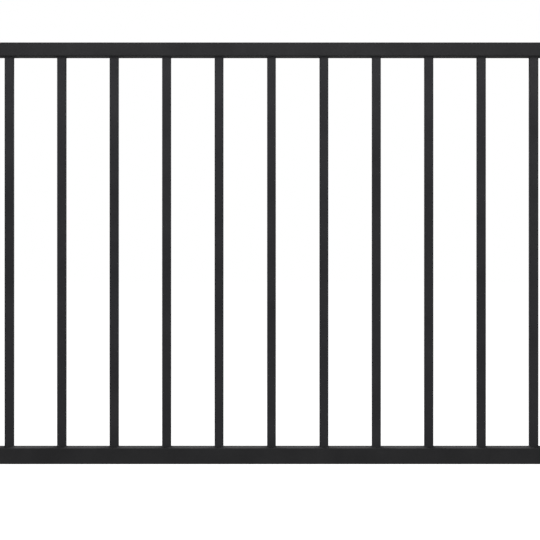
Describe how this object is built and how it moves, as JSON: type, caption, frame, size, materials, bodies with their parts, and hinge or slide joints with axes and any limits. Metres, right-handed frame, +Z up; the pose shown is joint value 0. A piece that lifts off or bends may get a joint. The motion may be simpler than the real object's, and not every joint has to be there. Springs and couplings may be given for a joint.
{
  "type": "deck railing section",
  "caption": "Welded deck railing section: a row of slim square upright bars between a top and a bottom rail, with a screw-on post bracket at each rail end, in matte black.",
  "frame": {"origin": "centre of the lower left bracket's flat face, where it meets the left-hand post", "axes": "+X along the rails to the right-hand post, +Y from the front face to the back, +Z up"},
  "size_m": [1.816, 0.0636, 0.957],
  "materials": {
    "rails": "matte",
    "balusters": "matte",
    "welds": "matte",
    "brackets": "matte"
  },
  "bodies": {
    "root": {"top_rail": "rails", "bottom_rail": "rails", "baluster_01": "balusters", "baluster_02": "balusters", "baluster_03": "balusters", "baluster_04": "balusters", "baluster_05": "balusters", "baluster_06": "balusters", "baluster_07": "balusters", "baluster_08": "balusters", "baluster_09": "balusters", "baluster_10": "balusters", "baluster_11": "balusters", "baluster_12": "balusters", "baluster_13": "balusters", "baluster_14": "balusters", "baluster_15": "balusters", "top_welds": "welds", "bottom_welds": "welds", "top_left_bracket": "brackets", "bottom_left_bracket": "brackets", "top_right_bracket": "brackets", "bottom_right_bracket": "brackets"}
  },
  "joints": []
}
